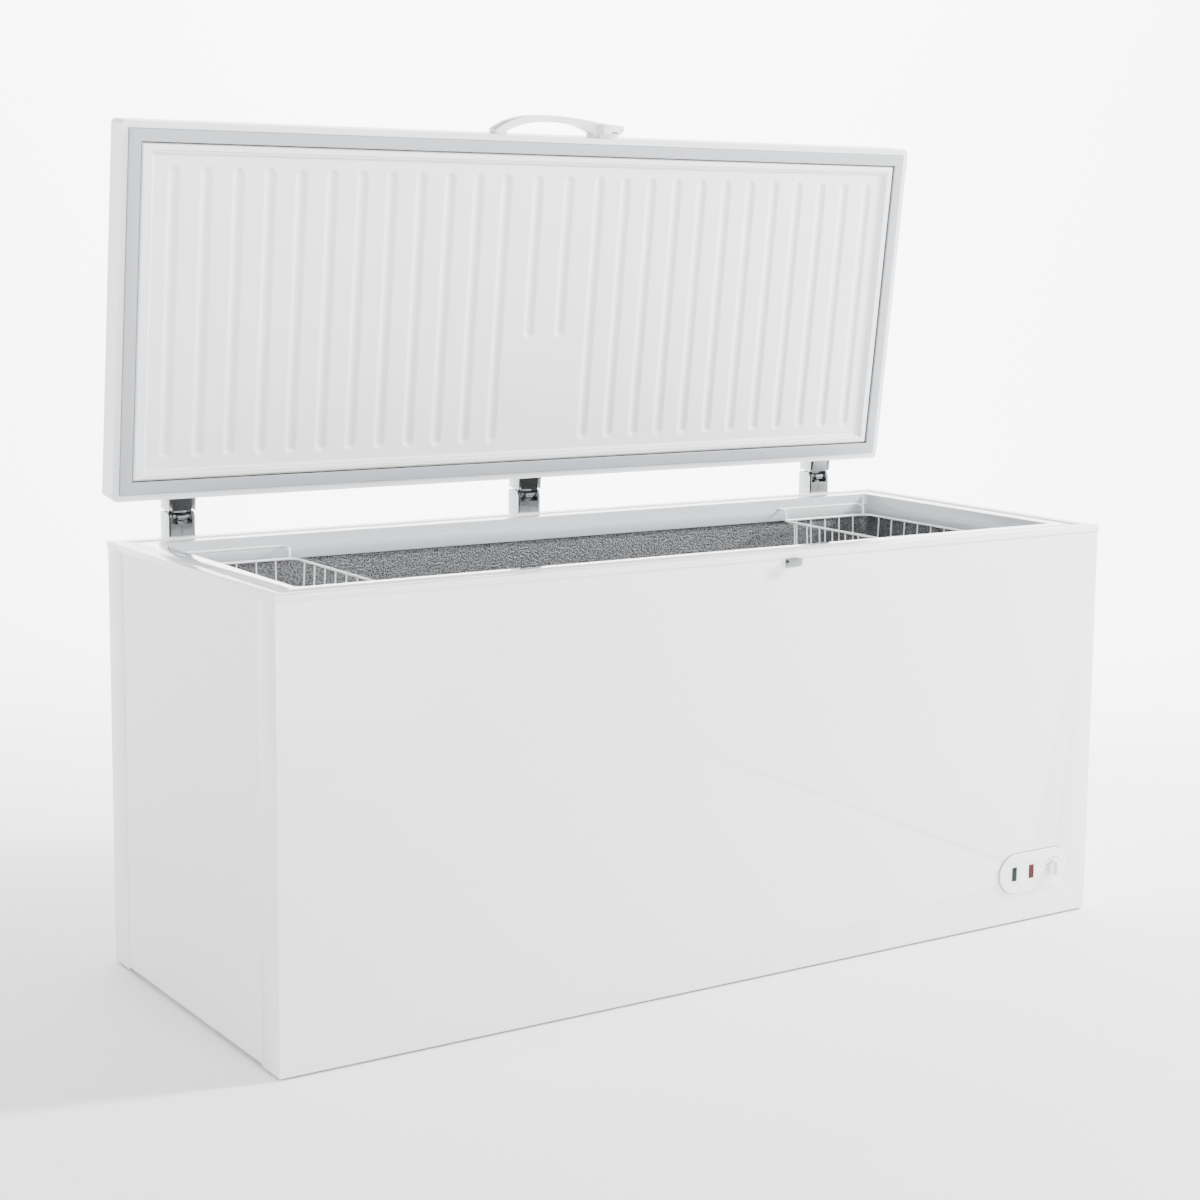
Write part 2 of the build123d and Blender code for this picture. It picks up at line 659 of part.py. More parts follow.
def hinge_upper_leaf(x):
    """Zinc leaf on the lid: a channel ending in a barrel with the cam that works the plunger."""
    back = LID_REAR - HINGE_Y
    leaf = across(x, -20.5, 20.5, back, back + 2.5, -26, 24)
    leaf += across(x, -20.5, 20.5, back, -14, -EAR_R, -EAR_R + 2)
    for side in (-1, 1):
        a, b = sorted((x + side * 18.5, x + side * 20.5))
        leaf += cheek(a, b, [(back, -EAR_R), (0, -EAR_R), (0, EAR_R), (back, EAR_R)])
        leaf += rod((a, HINGE_Y, HINGE_Z), (1, 0, 0), EAR_R, 2)
    leaf += rod((x - 20, HINGE_Y, HINGE_Z), (1, 0, 0), 8, 40)
    leaf += rod((x - 9, HINGE_Y, HINGE_Z - 8), (1, 0, 0), 7, 18)
    leaf -= rod((x - 30, HINGE_Y, HINGE_Z), (1, 0, 0), PIN_R + PIN_CLEAR, 60)
    for dx, dz in leaf_screw_places():
        leaf -= rod((x + dx, LID_REAR - 3, HINGE_Z + dz), (0, 1, 0), 2.1, 12)
    return opened(leaf)


def leaf_screw_places():
    """Two screws in each leaf, clear of its channel."""
    return [(-13, 18), (13, 18)]


def hinge_upper_cover(x):
    """White plastic cover over the leaf, riding on the lid."""
    back = LID_REAR - HINGE_Y + 0.2
    cover = across(x, -29, 29, back, -13, 26, 28)
    cover += across(x, -29, -27, back, -13, -12, 28)
    return opened(cover + across(x, 27, 29, back, -13, -12, 28))


def hinge_pins():
    """Riveted pins held in the lower brackets' ears."""
    pins = []
    for x in HINGE_XS.values():
        pin = rod((x - 25, HINGE_Y, HINGE_Z), (1, 0, 0), PIN_R, 50)
        pin += rod((x - 25.5, HINGE_Y, HINGE_Z), (1, 0, 0), 6, 2)
        pins.append(pin + rod((x + 23.5, HINGE_Y, HINGE_Z), (1, 0, 0), 6, 2))
    return Compound(pins)


def hinge_plungers():
    """Plungers that the cams push down as the lid closes."""
    top = HINGE_Z - PLUNGER_GAP
    parts = []
    for x in HINGE_XS.values():
        parts.append(rod((x, HINGE_Y, top), (0, 0, -1), 9, 6) + rod((x, HINGE_Y, top - 6), (0, 0, -1), 5, 90))
    return Compound(parts)


def hinge_springs():
    """Counterbalance springs under the plungers' heads."""
    bottom = SPRING_Z + SPRING_WIRE / 2 + 0.1
    height = HINGE_Z - PLUNGER_GAP - 6 - bottom - SPRING_WIRE / 2 - 0.1
    parts = []
    for x in HINGE_XS.values():
        path = Pos(x, HINGE_Y, bottom) * Helix(height / 14, height, SPRING_R)
        section = Plane(origin=path @ 0, z_dir=path % 0) * Circle(SPRING_WIRE / 2)
        parts.append(sweep(section, path=path, is_frenet=True))
    return Compound(parts)


def hinge_screws_lower():
    """Screws that fix the lower brackets to the rear panel."""
    return Compound([pan_screw((x, HALF_D + 2, z), (0, 1, 0), 2.5, 12, 5, 3) for x, z in HINGE_SCREWS])


def lid_screws():
    """Equal screws that fix the leaves to the lid's rear edge and the handle to its front."""
    screws = []
    for x in HINGE_XS.values():
        for dx, dz in leaf_screw_places():
            point = (x + dx, LID_REAR + 2.5, HINGE_Z + dz)
            screws.append(pan_screw(point, (0, 1, 0), 2.1, 12, 4.5, 2.6))
    for x in HANDLE_SCREW_XS:
        point = (x, LID_FRONT + SHEET, HANDLE_Z)
        screws.append(pan_screw(point, (0, 1, 0), 2.1, 7, 4.5, 2.6))
    return opened(Compound(screws))


# ---------------------------------------------------------------- lid

LID_TOP = LID_Z0 + LID_T
PLATEAU_INSET = LIP + 0.5 + GASKET_W
PANEL_BACK = LID_Z0 + SHEET
PLATEAU_Z = LID_Z0 - PLATEAU_DROP
FIELD_Z = PLATEAU_Z + FIELD_DEPTH
SHELL_R = 10.0


def lid_screw_holes():
    """Holes in the lid's edges for the hinge leaves, the handle and the corner clip."""
    holes = []
    for x in HINGE_XS.values():
        for dx, dz in leaf_screw_places():
            holes.append(rod((x + dx, LID_REAR - 12, HINGE_Z + dz), (0, 1, 0), 2.1, 14))
    for x in HANDLE_SCREW_XS:
        holes.append(rod((x, LID_FRONT - 2, HANDLE_Z), (0, 1, 0), 2.1, 16))
    return holes


def lid_outer_shell():
    """Painted steel pan with a narrow lip turned in round its mouth."""
    pan = lid_prism(0, LID_Z0, LID_TOP, SHELL_R)
    pan = fillet(pan.edges().group_by(Axis.Z)[-1], 6)
    hollow = lid_prism(SHEET, LID_Z0 + SHEET, LID_TOP - SHEET, SHELL_R - SHEET)
    hollow = fillet(hollow.edges().group_by(Axis.Z)[-1], 5)
    pan -= hollow + lid_prism(LIP, LID_Z0 - 1, LID_Z0 + 2)
    for hole in lid_screw_holes():
        pan -= hole
    return opened(pan)


def groove_places():
    """Middle X of each groove, with the Y of its rear end on the closed lid."""
    first = 1.5 * GROOVE_MIDDLE
    places = [(side * GROOVE_MIDDLE / 2, SHORT_GROOVE_Y1) for side in (-1, 1)]
    for index in range(GROOVES_A_SIDE):
        for side in (-1, 1):
            places.append((side * (first + index * GROOVE_PITCH), GROOVE_Y1))
    return places


def groove(x, rear_end, width, z0, z1):
    """One round-ended groove running front to back."""
    y0 = GROOVE_Y0 - (width - GROOVE_W) / 2
    y1 = rear_end + (width - GROOVE_W) / 2
    plan = Pos(x, (y0 + y1) / 2, z0) * Rot(0, 0, 90) * SlotOverall(y1 - y0, width)
    return extrude(plan, z1 - z0)


def lid_panel_block():
    """The inner panel as a solid with its field and grooves still filled."""
    flange = lid_prism(SHEET + 4, PANEL_BACK, PANEL_BACK + PANEL_T)
    raised = lid_prism(PLATEAU_INSET, PLATEAU_Z, FIELD_Z + PANEL_T, 8)
    panel = flange + raised
    for x, rear_end in groove_places():
        panel += groove(x, rear_end, GROOVE_W + 2 * PANEL_T, FIELD_Z, FIELD_Z + GROOVE_DEPTH + PANEL_T)
    return panel


def field_outline(inset, z):
    """The recess's outline, drawn in by an inset, at one height."""
    width = 2 * (FIELD_X - inset)
    depth = FIELD_Y1 - FIELD_Y0 - 2 * inset
    return Pos(0, (FIELD_Y0 + FIELD_Y1) / 2, z) * RectangleRounded(width, depth, 7)


def field_recess():
    """The sloping-sided recess inside the panel's raised border."""
    return loft([field_outline(0, PLATEAU_Z), field_outline(FIELD_SLOPE, FIELD_Z)])


def lid_inner_panel():
    """Formed plastic panel: raised border, recessed field and two dozen grooves."""
    panel = lid_panel_block() - field_recess()
    for x, rear_end in groove_places():
        panel -= groove(x, rear_end, GROOVE_W, FIELD_Z - 1, FIELD_Z + GROOVE_DEPTH)
    return opened(panel)


def lid_foam():
    """Foam that fills the lid between its shell and inner panel."""
    foam = lid_prism(SHEET, PANEL_BACK, LID_TOP - SHEET, SHELL_R - SHEET)
    foam = fillet(foam.edges().group_by(Axis.Z)[-1], 5)
    foam -= lid_panel_block()
    foam -= ring_of_lid(0, SHEET + 4, PANEL_BACK - 1, PANEL_BACK + PANEL_T)
    for hole in lid_screw_holes():
        foam -= hole
    for x in HANDLE_SCREW_XS:
        foam -= rod((x, LID_FRONT + SHEET, HANDLE_Z), (0, 1, 0), 5, 4)
    return opened(foam)


def ring_of_lid(outer, inner, z0, z1):
    """A band round the lid between two insets."""
    return lid_prism(outer, z0, z1) - lid_prism(inner, z0, z1)


def lid_gasket():
    """Magnetic gasket at its pressed height, in one frame with a raised bead."""
    low = CAB_H + GASKET_GAP
    seat = ring_of_lid(LIP + 0.5, PLATEAU_INSET, PANEL_BACK - 2, PANEL_BACK)
    body = ring_of_lid(LIP + 1.5, PLATEAU_INSET - 1, low, PANEL_BACK - 2)
    return opened(seat + body)


# ---------------------------------------------------------------- handle and lock

HANDLE_SCREW_XS = (-130.5, 103.0)


def handle_plane(z):
    """A plane over the lid's front edge, its Y pointing away from the edge."""
    return Plane(origin=(0, LID_FRONT, z), x_dir=(1, 0, 0), z_dir=(0, 0, -1))


def lid_handle():
    """Bowed pull that runs out into the lock's housing."""
    with BuildSketch() as profile:
        with BuildLine():
            Line((-143, 0), (-143, 9))
            Spline((-143, 9), (-103, 30), (-32, 41), (47, 39), (110, 31), (151, 24))
            Polyline((151, 24), (151, 3), (110, 3), (110, 0), (96, 0), (96, 6))
            Spline((96, 6), (50, 22), (-8, 28), (-72, 23), (-118, 6))
            Polyline((-118, 6), (-118, 0), (-143, 0))
        make_face()
    top = HANDLE_Z + HANDLE_T / 2
    bow = extrude(handle_plane(top) * profile.sketch, HANDLE_T)
    x1 = LOCK_X + LOCK_L
    housing = block(LOCK_X, x1, LID_FRONT - 28.5, LID_FRONT - 1, LID_Z0 + 2, LOCK_Z + 33)
    housing += block(LOCK_X, x1, LID_FRONT - 28.5, LID_FRONT - 9.4, LOCK_Z - 28, LID_Z0 + 2)
    recess = block(LOCK_X + 18, LOCK_X + 36, LID_FRONT - 26.3, LID_FRONT - 11.2, LOCK_Z - 14, LOCK_Z + 26)
    recess += block(BOLT_X - 7.3, BOLT_X + 7.3, LID_FRONT - 14.8, LID_FRONT - 11.2, LOCK_Z - 29, LOCK_Z)
    handle = bow + housing - recess
    handle -= rod((LOCK_X + 35, LID_FRONT - LOCK_U, LOCK_Z), (1, 0, 0), 6.05, 30)
    for x in HANDLE_SCREW_XS:
        handle -= rod((x, LID_FRONT - 7, HANDLE_Z), (0, 1, 0), 2.1, 12)
    return opened(handle)


def lock_cylinder():
    """Chrome key barrel with the pinion that drives the bolt; its teeth aren't cut."""
    y = LID_FRONT - LOCK_U
    barrel = rod((LOCK_X + 37.5, y, LOCK_Z), (1, 0, 0), 6.0, 27.5)
    barrel += rod((LOCK_X + LOCK_L + 0.5, y, LOCK_Z), (1, 0, 0), 8.0, 4)
    barrel += rod((LOCK_X + 19.5, y, LOCK_Z), (1, 0, 0), 5.5, 18.5)
    keyway = block(LOCK_X + 58, LOCK_X + 70, y - 1, y + 1, LOCK_Z - 3.5, LOCK_Z + 3.5)
    return opened(barrel - keyway)


def lock_bolt():
    """Flat bolt that the key drives down out of the housing into the keeper's slot."""
    return opened(block(BOLT_X - 7, BOLT_X + 7, LID_FRONT - 14.5, LID_FRONT - 11.5, LOCK_Z - 26, LOCK_Z + 18))


def lid_edge_clip():
    """Small plastic clip on the lid's right-hand edge, near the front corner."""
    x = LID_HALF_W
    clip = block(x, x + 9, LID_FRONT + 20, LID_FRONT + 55, LID_Z0 + 8, LID_Z0 + 26)
    clip = fillet(clip.edges().filter_by(Axis.Y), 2)
    return opened(clip - block(x + 3, x + 6, LID_FRONT + 19, LID_FRONT + 50, LID_Z0 + 12, LID_Z0 + 27))


# ---------------------------------------------------------------- baskets


def basket(side):
    """Storage basket: open shell, heavier rim and a hanger at each end."""
    x = side * BASKET_X
    top = BASKET_RIM_Z
    bottom = top - BASKET_H
    outer = extrude(Pos(x, 0, bottom) * RectangleRounded(BASKET_W - 6, BASKET_D - 6, 14), BASKET_H)
    inner_w = BASKET_W - 6 - 2 * BASKET_WALL
    inner_d = BASKET_D - 6 - 2 * BASKET_WALL
    inner = extrude(Pos(x, 0, bottom + BASKET_WALL) * RectangleRounded(inner_w, inner_d, 13), BASKET_H)
    rim = extrude(Pos(x, 0, top - 5) * RectangleRounded(BASKET_W, BASKET_D, 16), 5)
    shell = outer + rim - inner
    for end in (-1, 1):
        shell += hanger(x, end)
    return shell


def hanger(x, end):
    """Wire that rises from the rim, bends over the throat's ledge and runs along it."""
    half = BASKET_W / 2 - 12
    rim_y = end * (BASKET_D / 2 - 4)
    ledge_y = end * (HALF_D - THROAT - 3.5)
    top = LEDGE_Z + 5.0
    low = BASKET_RIM_Z - 4
    y0, y1 = sorted((rim_y, ledge_y))
    wire = None
    for dx in (-half, half):
        back, front = sorted((rim_y, rim_y - end * 4))
        riser = block(x + dx - 2, x + dx + 2, back, front, low, top)
        arm = block(x + dx - 2, x + dx + 2, y0 - 2, y1 + 2, top - 4, top)
        wire = riser + arm if wire is None else wire + riser + arm
    return wire + block(x - half, x + half, ledge_y - 2, ledge_y + 2, top - 4, top)


# ---------------------------------------------------------------- writing the parts


def all_parts():
    """Every node's name and shape."""
    parts = {
        "front_panel": front_panel(),
        "rear_panel": rear_panel(),
        "left_side_panel": side_panel(-1),
        "right_side_panel": side_panel(1),
        "base_tray": base_tray(),
        "top_collar": top_collar(),
        "throat_frame": throat_frame(),
        "inner_liner": inner_liner(),
        "foam_insulation": foam_insulation(),
        "lock_keeper": lock_keeper(),
        "feet": feet(),
        "vent_grille": vent_grille(),
        "service_cover": service_cover(),
        "panel_screws": panel_screws(),
        "compressor": compressor(),
        "compressor_plate": compressor_plate(),
        "compressor_grommets": compressor_grommets(),
        "compressor_bolts": compressor_bolts(),
        "terminal_cover": terminal_cover(),
        "filter_drier": filter_drier(),
        "condenser_tube": tube(condenser_points(), 3, CONDENSER_BEND),
        "capillary_tube": tube(CAPILLARY_POINTS, 1.5, CAPILLARY_BEND),
        "evaporator_tube": tube(evaporator_points(), 4, EVAP_BEND),
        "inlet_gland": inlet_gland(),
        "control_bezel": control_bezel(),
        "green_lamp": lamp("green"),
        "red_lamp": lamp("red"),
        "thermostat_body": thermostat_body(),
        "thermostat_bulb": thermostat_bulb(),
        "thermostat_knob": thermostat_knob(),
        "drain_tube": drain_tube(),
        "drain_plug": drain_plug(),
        "drain_cap": drain_cap(),
        "hinge_pins": hinge_pins(),
        "hinge_plungers": hinge_plungers(),
        "hinge_springs": hinge_springs(),
        "hinge_screws_lower": hinge_screws_lower(),
        "lid_outer_shell": lid_outer_shell(),
        "lid_inner_panel": lid_inner_panel(),
        "lid_foam": lid_foam(),
        "lid_gasket": lid_gasket(),
        "lid_handle": lid_handle(),
        "lid_screws": lid_screws(),
        "lock_cylinder": lock_cylinder(),
        "lock_bolt": lock_bolt(),
        "lid_edge_clip": lid_edge_clip(),
        "left_basket": basket(-1),
        "right_basket": basket(1),
    }
    for name, x in HINGE_XS.items():
        parts[f"hinge_{name}_lower_bracket"] = hinge_lower_bracket(x)
        parts[f"hinge_{name}_lower_cover"] = hinge_lower_cover(x)
        parts[f"hinge_{name}_upper_leaf"] = hinge_upper_leaf(x)
        parts[f"hinge_{name}_upper_cover"] = hinge_upper_cover(x)
    return parts


os.makedirs("parts", exist_ok=True)
for node, shape in all_parts().items():
    export_step(shape, f"parts/{node}.step")
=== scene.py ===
import json
import math

import bmesh
import bpy
from mathutils import Matrix, Vector

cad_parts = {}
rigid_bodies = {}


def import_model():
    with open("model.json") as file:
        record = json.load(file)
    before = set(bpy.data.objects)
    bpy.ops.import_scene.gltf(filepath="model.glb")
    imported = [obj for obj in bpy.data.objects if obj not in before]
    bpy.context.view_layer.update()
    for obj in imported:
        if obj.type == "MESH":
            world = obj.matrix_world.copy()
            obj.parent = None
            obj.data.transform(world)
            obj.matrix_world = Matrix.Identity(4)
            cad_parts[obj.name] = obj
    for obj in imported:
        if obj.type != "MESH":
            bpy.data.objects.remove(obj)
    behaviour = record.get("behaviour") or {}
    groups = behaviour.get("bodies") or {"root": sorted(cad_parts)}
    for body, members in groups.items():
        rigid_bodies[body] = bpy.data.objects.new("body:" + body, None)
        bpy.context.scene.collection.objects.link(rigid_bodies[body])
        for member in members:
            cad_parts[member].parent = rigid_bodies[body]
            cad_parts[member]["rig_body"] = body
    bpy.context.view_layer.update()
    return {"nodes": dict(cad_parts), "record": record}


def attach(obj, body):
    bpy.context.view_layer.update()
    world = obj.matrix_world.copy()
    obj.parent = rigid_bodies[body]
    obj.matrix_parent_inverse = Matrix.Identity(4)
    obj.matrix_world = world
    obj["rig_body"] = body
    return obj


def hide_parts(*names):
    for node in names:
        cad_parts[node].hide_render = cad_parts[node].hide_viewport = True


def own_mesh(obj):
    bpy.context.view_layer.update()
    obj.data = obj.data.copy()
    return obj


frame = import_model()

# Lengths are in metres in the row frame: +X to the user's right, -Y to the front, +Z up.
# Lid pieces are laid out closed and then turned about the hinge pins to the open rest pose.
HINGE_Y = 0.400
HINGE_Z = 0.888
LID_OPEN = math.radians(83.0)
LID_HALF_W = 0.958
LID_FRONT = -0.379
LID_REAR = 0.356
PIVOT = Vector((0.0, HINGE_Y, HINGE_Z))
OPENED = Matrix.Translation(PIVOT) @ Matrix.Rotation(-LID_OPEN, 4, "X") @ Matrix.Translation(-PIVOT)

HALF_D = 0.385
LEDGE_Z = 0.825
KNOB = (0.860, 0.110)
PANEL = (0.803, 0.110)


# ---------------------------------------------------------------- materials


def principled(name, color, roughness, metallic=0.0, coat=0.0, **sockets):
    """A plain surface; extra sockets are given by name with underscores for spaces."""
    material = bpy.data.materials.new(name)
    material.use_nodes = True
    shader = material.node_tree.nodes["Principled BSDF"]
    shader.inputs["Base Color"].default_value = (*color, 1.0)
    shader.inputs["Roughness"].default_value = roughness
    shader.inputs["Metallic"].default_value = metallic
    shader.inputs["Coat Weight"].default_value = coat
    shader.inputs["Coat Roughness"].default_value = 0.08
    for key, value in sockets.items():
        shader.inputs[key.replace("_", " ")].default_value = value
    return material


def noise(material, scale, detail=2.0, stretch=(1.0, 1.0, 1.0)):
    """A noise texture in the object's own coordinates."""
    nodes = material.node_tree.nodes
    links = material.node_tree.links
    place = nodes.new("ShaderNodeTexCoord")
    mapping = nodes.new("ShaderNodeMapping")
    mapping.inputs["Scale"].default_value = stretch
    texture = nodes.new("ShaderNodeTexNoise")
    texture.inputs["Scale"].default_value = scale
    texture.inputs["Detail"].default_value = detail
    links.new(place.outputs["Object"], mapping.inputs["Vector"])
    links.new(mapping.outputs["Vector"], texture.inputs["Vector"])
    return texture


def bump(material, height, strength, distance):
    """Feeds a height into the shader's normal."""
    nodes = material.node_tree.nodes
    links = material.node_tree.links
    node = nodes.new("ShaderNodeBump")
    node.inputs["Strength"].default_value = strength
    node.inputs["Distance"].default_value = distance
    links.new(height, node.inputs["Height"])
    links.new(node.outputs["Normal"], nodes["Principled BSDF"].inputs["Normal"])


def stucco():
    """Embossed aluminium: small random facets with a slight grey mottle."""
    material = principled("stucco_aluminium", (0.10, 0.105, 0.11), 0.42, metallic=0.6)
    nodes = material.node_tree.nodes
    links = material.node_tree.links
    place = nodes.new("ShaderNodeTexCoord")
    cells = nodes.new("ShaderNodeTexVoronoi")
    cells.feature = "SMOOTH_F1"
    cells.inputs["Scale"].default_value = 260.0
    cells.inputs["Smoothness"].default_value = 0.45
    links.new(place.outputs["Object"], cells.inputs["Vector"])
    fine = noise(material, 420.0, 3.0)
    total = nodes.new("ShaderNodeMath")
    total.operation = "MULTIPLY_ADD"
    total.inputs[1].default_value = 0.35
    links.new(fine.outputs["Fac"], total.inputs[0])
    links.new(cells.outputs["Distance"], total.inputs[2])
    bump(material, total.outputs["Value"], 1.0, 0.0012)
    ramp = nodes.new("ShaderNodeValToRGB")
    ramp.color_ramp.elements[0].position = 0.16
    ramp.color_ramp.elements[0].color = (0.018, 0.0185, 0.019, 1.0)
    ramp.color_ramp.elements[1].position = 0.62
    ramp.color_ramp.elements[1].color = (0.19, 0.195, 0.20, 1.0)
    links.new(cells.outputs["Distance"], ramp.inputs["Fac"])
    links.new(ramp.outputs["Color"], nodes["Principled BSDF"].inputs["Base Color"])
    return material


def orange_peel(name, color, roughness, strength):
    """Powder-coated or moulded surface with a very faint texture."""
    material = principled(name, color, roughness, coat=0.25)
    texture = noise(material, 260.0)
    bump(material, texture.outputs["Fac"], strength, 0.0004)
    return material


def brushed(name, color, roughness):
    """Zinc-plated steel with fine streaks."""
    material = principled(name, color, roughness, metallic=1.0)
    streaks = noise(material, 90.0, 4.0, (1.0, 1.0, 14.0))
    nodes = material.node_tree.nodes
    spread = nodes.new("ShaderNodeMapRange")
    spread.inputs["To Min"].default_value = roughness * 0.75
    spread.inputs["To Max"].default_value = roughness * 1.35
    material.node_tree.links.new(streaks.outputs["Fac"], spread.inputs["Value"])
    material.node_tree.links.new(spread.outputs["Result"], nodes["Principled BSDF"].inputs["Roughness"])
    return material


MATERIALS = {
    "white_paint": orange_peel("white_paint", (0.74, 0.75, 0.765), 0.34, 0.10),
    "white_trim": principled("white_trim", (0.76, 0.77, 0.785), 0.26, coat=0.3),
    "grey_trim": principled("grey_trim", (0.42, 0.44, 0.47), 0.12, coat=0.6),
    "panel_plastic": principled("panel_plastic", (0.78, 0.795, 0.81), 0.34, coat=0.1),
    "gasket": principled("gasket", (0.33, 0.35, 0.385), 0.50),
    "stucco_aluminium": stucco(),
    "foam": orange_peel("foam", (0.80, 0.72, 0.48), 0.85, 0.6),
    "zinc": brushed("zinc", (0.23, 0.24, 0.245), 0.22),
    "zinc_sheet": brushed("zinc_sheet", (0.22, 0.23, 0.235), 0.36),
    "chrome": principled("chrome", (0.30, 0.31, 0.32), 0.10, metallic=1.0),
    "black_enamel": principled("black_enamel", (0.012, 0.012, 0.013), 0.25, coat=0.5),
    "black_plastic": principled("black_plastic", (0.02, 0.02, 0.022), 0.5),
    "rubber": principled("rubber", (0.02, 0.02, 0.02), 0.75),
    "copper": principled("copper", (0.72, 0.36, 0.22), 0.25, metallic=1.0),
    "green_lens": principled("green_lens", (0.0, 0.016, 0.011), 0.22, Specular_IOR_Level=0.25),
    "red_lens": principled("red_lens", (0.034, 0.0006, 0.0008), 0.22, Specular_IOR_Level=0.25),
    "coated_wire": principled("coated_wire", (0.82, 0.83, 0.84), 0.25, coat=0.4),
}
SLOT = {part["node"]: part["material_slot"] for part in frame["record"]["subparts"]}


def dress_nodes():
    """Gives every CAD node the material of its slot."""
    for name, node in frame["nodes"].items():
        material = MATERIALS[SLOT[name]]
        for index in range(max(1, len(node.data.materials))):
            if node.data.materials:
                node.data.materials[index] = material
            else:
                node.data.materials.append(material)


# ---------------------------------------------------------------- making pieces


def body_of(node):
    """The CAD body that a node rides on."""
    return frame["nodes"][node]["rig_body"]


def stand_for(obj, node, slot=None):
    """Puts a piece in a CAD node's place, on its body and in its slot."""
    name = slot or SLOT[node]
    obj.data.materials.clear()
    obj.data.materials.append(MATERIALS[name])
    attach(obj, body_of(node))
    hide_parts(node)
    return obj


def add_mesh(name, vertices, faces, turned=False, smooth=True):
    """A new mesh object; turned takes closed-lid coordinates to the open pose."""
    mesh = bpy.data.meshes.new(name)
    mesh.from_pydata(vertices, [], faces)
    if turned:
        mesh.transform(OPENED)
    mesh.polygons.foreach_set("use_smooth", [smooth] * len(mesh.polygons))
    mesh.update()
    obj = bpy.data.objects.new(name, mesh)
    bpy.context.scene.collection.objects.link(obj)
    return obj


def shade_by_angle(obj, degrees):
    """Smooth shading with edges sharper than an angle kept crisp."""
    limit = math.radians(degrees)
    work = bmesh.new()
    work.from_mesh(obj.data)
    for face in work.faces:
        face.smooth = True
    for edge in work.edges:
        edge.smooth = len(edge.link_faces) == 2 and edge.calc_face_angle(0.0) < limit
    work.to_mesh(obj.data)
    work.free()


def eased(node, width, segments=2, angle=35.0):
    """A copy of a CAD node with its hard edges rounded."""
    source = frame["nodes"][node]
    mesh = source.data.copy()
    work = bmesh.new()
    work.from_mesh(mesh)
    bmesh.ops.remove_doubles(work, verts=work.verts, dist=1e-6)
    bmesh.ops.dissolve_limit(work, angle_limit=math.radians(1.0), verts=work.verts, edges=work.edges)
    work.to_mesh(mesh)
    work.free()
    obj = bpy.data.objects.new(node + "_eased", mesh)
    bpy.context.scene.collection.objects.link(obj)
    modifier = obj.modifiers.new("ease", "BEVEL")
    modifier.width = width
    modifier.segments = segments
    modifier.limit_method = "ANGLE"
    modifier.angle_limit = math.radians(angle)
    modifier.use_clamp_overlap = True
    baked = bpy.data.meshes.new_from_object(obj.evaluated_get(bpy.context.evaluated_depsgraph_get()))
    obj.modifiers.clear()
    obj.data = baked
    shade_by_angle(obj, 32.0)
    return stand_for(obj, node)


def hinge_springs():
    """The counterbalance springs, on a mesh of their own; in the real hinge they shorten as the closing
    lid presses their plungers.
    """
    obj = bpy.data.objects.new("springs_wound", frame["nodes"]["hinge_springs"].data.copy())
    bpy.context.scene.collection.objects.link(obj)
    shade_by_angle(obj, 60.0)
    stand_for(obj, "hinge_springs")
    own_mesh(obj)


def smoothstep(low, high, value):
    """0 below low, 1 above high, eased between them."""
    t = min(1.0, max(0.0, (value - low) / (high - low)))
    return t * t * (3.0 - 2.0 * t)


# ---------------------------------------------------------------- lid

# The inner panel's raised border, and how its outer edge turns up
PLATEAU_INSET = 0.041
PLATEAU_Z = 0.853
TURN_RISE = 0.0035
TURN_W = 0.003

# The recessed field inside the border, with a crease along its outline
FIELD_X = 0.900
FIELD_Y0 = -0.325
FIELD_Y1 = 0.303
FIELD_SLOPE = 0.009
FIELD_DEPTH = 0.008
CREASE_R = 0.0022
CREASE_FLAT = 0.0004
CREASE_DEPTH = 0.003

# The grooves, and the plain pad below the two short ones
GROOVES_EACH_SIDE = 12
GROOVE_MIDDLE = 0.0768
GROOVE_PITCH = 0.0668
GROOVE_R = 0.0145
GROOVE_FLAT = 0.003
GROOVE_DEPTH = 0.0042
GROOVE_Y0 = -0.299
GROOVE_Y1 = 0.277
SHORT_GROOVE_Y1 = 0.051
PAD_Y = 0.130
PAD_HALF_W = 0.094
PAD_HALF_D = 0.060
PAD_EDGE = 0.0015
PAD_RISE = 0.0006

# Spacing of the panel's points: fine by the edges, coarse along the straight grooves
FINE = 0.001
MEDIUM = 0.002
ACROSS_GROOVES = 0.0024
COARSE = 0.008
EDGE_STRIP = 0.024
GROOVE_END = 0.022
SHORT_END = 0.018

# The gasket's band on the skin's folded edge
SKIN_EDGE_Z = 0.857
GASKET_OUTER = 0.0136
GASKET_INNER = 0.0380
GASKET_SIDE_Z = 0.8532
GASKET_ROUND = 0.0016
GASKET_FACE_DROP = 0.0020
# Height of the painted shade strips along the gasket's edges
GASKET_SHADE_Z = 0.8567


def groove_lines():
    """(x, front y, rear y) of every groove's centre line on the closed lid."""
    front = GROOVE_Y0 + GROOVE_R
    lines = [(side * GROOVE_MIDDLE / 2, front, SHORT_GROOVE_Y1 - GROOVE_R) for side in (-1, 1)]
    for index in range(GROOVES_EACH_SIDE):
        for side in (-1, 1):
            x = side * (1.5 * GROOVE_MIDDLE + index * GROOVE_PITCH)
            lines.append((x, front, GROOVE_Y1 - GROOVE_R))
    return lines


